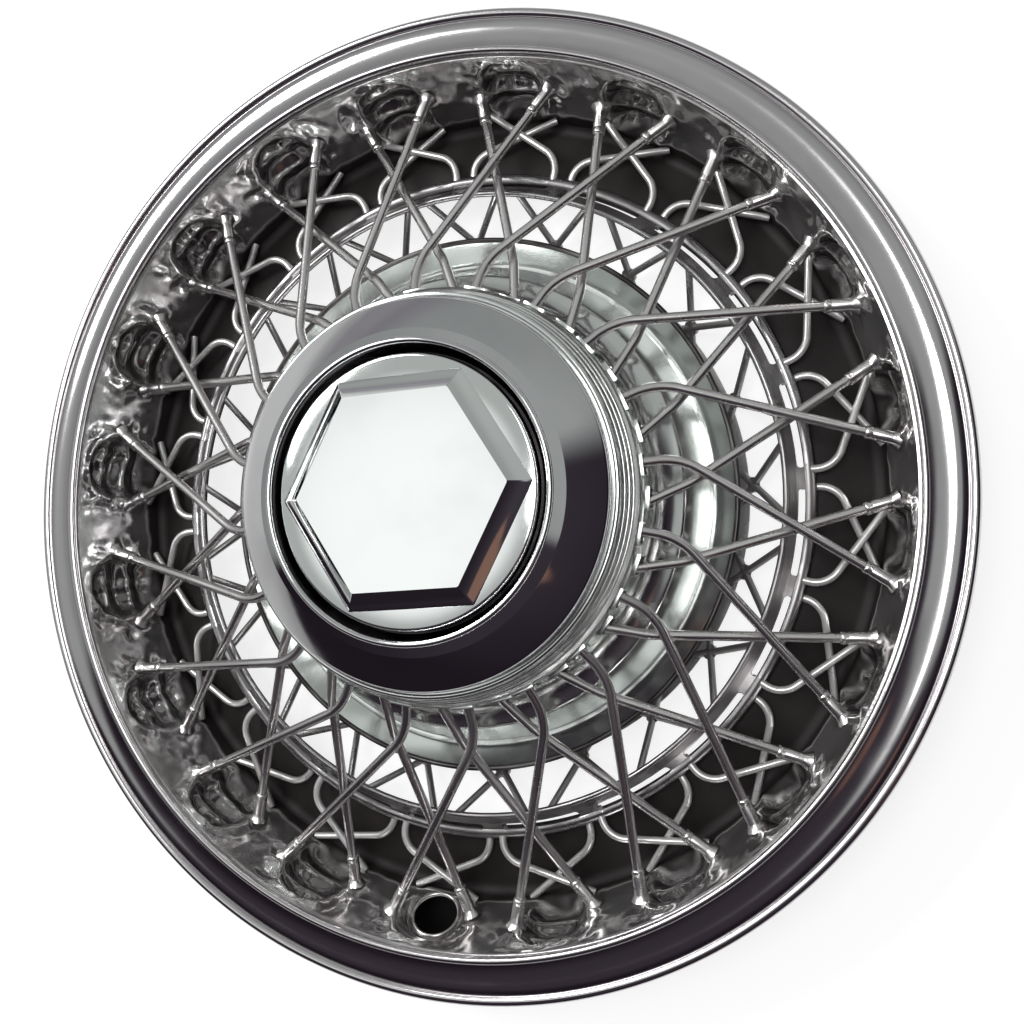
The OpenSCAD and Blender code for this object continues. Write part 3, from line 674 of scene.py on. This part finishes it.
def long_wire(name, hand, height, reach, corner_turn, wall_height):
    """One long wire with its nipple, extruded along its route and spun round its bend."""
    corner = at(drum_radius + reach, hand * (4 + corner_turn), height - 5.7)
    window_mid = at(drum_radius, hand * 4, height)
    root = corner + (window_mid - corner) * (reach + 5.5) / reach
    seat = at(wall_radius_at(wall_height), hand * 23.35, wall_height)
    u, v = (corner - root).normalized(), (seat - corner).normalized()
    turn = u.angle(v)
    back = bend_radius * math.tan(turn / 2)
    bend_mid = corner + (v - u).normalized() * bend_radius / math.cos(turn / 2)
    piece = ring_at(name, root, u, wire_width)
    bpy.ops.object.mode_set(mode="EDIT")
    bpy.ops.mesh.select_all(action="SELECT")
    grow_ring(corner - u * back - root, corner)
    bpy.ops.mesh.spin(steps=14, angle=-turn, center=bend_mid / 1000, axis=u.cross(v).normalized())
    run = (seat - corner).length - back
    place = corner + v * back
    width = wire_width
    for length, wide in [(run - 13.4, wire_width)] + nipple_steps:
        place = place + v * length
        grow_ring(v * length, place, wide / width)
        width = wide
    bpy.ops.object.mode_set(mode="OBJECT")
    return piece


wire_satin = metal("long_wire_satin", (0.72, 0.7, 0.695), (0.58, 0.56, 0.555), 0.24, 0.14, rings=0.0, dents=0.25)
for row, hand, height, reach, corner_turn, wall_height in (("front", -1, 18, 13.4, 0, -15),
                                                           ("rear", 1, 10.6, 14.9, 4.5, -22)):
    first = long_wire("wire", hand, height, reach, corner_turn, wall_height)
    for number, turn in enumerate(pocket_turns, 1):
        copy = set_out(first, turn)
        copy.name = f"{row}_wire_{number}"
        finish_piece(copy, wire_satin, "satin_spoke", f"{row}_spoke_{number}")
    bpy.data.objects.remove(first)

# Cap bezel: a chromed cone that clips over the drum's top. Its upper edge turns over a
# bead, and a well inside it holds the cap's rim.
bezel_chrome = metal("bezel_chrome", (0.66, 0.66, 0.67), (0.56, 0.56, 0.57), 0.06, 0.08, rings=0.06)
cone_path = [(75.8, 36.9)] + rounded((75.8, 36.8), (75.8, 41.3), (62, 50.5), 2.5)
cone_path += rounded((75.8, 41.3), (62, 50.5), (56.9, 52.7), 2) + [(56.9, 52.9)]
well_path = [(55.8, 53), (53.4, 49.6), (53, 47.9), (47, 47.8)]
bezel = join("cap_bezel_cone", [turned("cone_sheet", cone_path, 1), rolled(56.9, 53.5, 1.3)])
finish_piece(bezel, bezel_chrome, "polished_trim", "cap_bezel")
# Painted shade: the well round the cap is coloured nearly black for the shade in its recess.
well_painted_shade = metal("cap_well_painted_shade", (0.02, 0.018, 0.02), (0.1, 0.095, 0.1), 0.2, 0.3)
finish_piece(turned("cap_well", well_path, 0.8), well_painted_shade, "polished_trim")

# Centre cap: a round chromed lid with a hexagon raised on it. The hexagon's sides sweep
# down in shallow coves, and their foot leaves a bright crescent of the lid at each side.
cap_chrome = metal("cap_chrome", (0.86, 0.88, 0.87), (0.8, 0.81, 0.81), 0.05, 0.05, rings=0.03)
lid_path = [(52.4, 47.8)] + rounded((52.4, 47.8), (52.4, 53.5), (0, 53.5), 1.6) + [(40, 53.5)]
lid = turned("lid_sheet", lid_path, 1)
slope = [(44, 53.4), (41.9, 54.6), (40, 55.9), (38.3, 57.3), (36.8, 58.8)]
hexagon = turned("hexagon", [(radius / math.cos(math.pi / 6), height) for radius, height in slope], 1, 6)
selected_only(hexagon)
bpy.ops.object.mode_set(mode="EDIT")
bpy.ops.mesh.select_all(action="DESELECT")
bpy.ops.object.mode_set(mode="OBJECT")
for edge in hexagon.data.edges:
    ends = [hexagon.data.vertices[k].co for k in edge.vertices]
    edge.select = all(abs(end.z - edge_height - 0.0588) < 1e-5 for end in ends)
bpy.ops.object.mode_set(mode="EDIT")
bpy.ops.mesh.edge_face_add()
bpy.ops.object.mode_set(mode="OBJECT")
soften(hexagon, 0.0011, 5, 25)
hexagon.rotation_euler = (0, 0, math.radians(34.4))
cap = join("centre_cap_lid", [lid, hexagon])
finish_piece(cap, cap_chrome, "chrome_cap", "centre_cap")
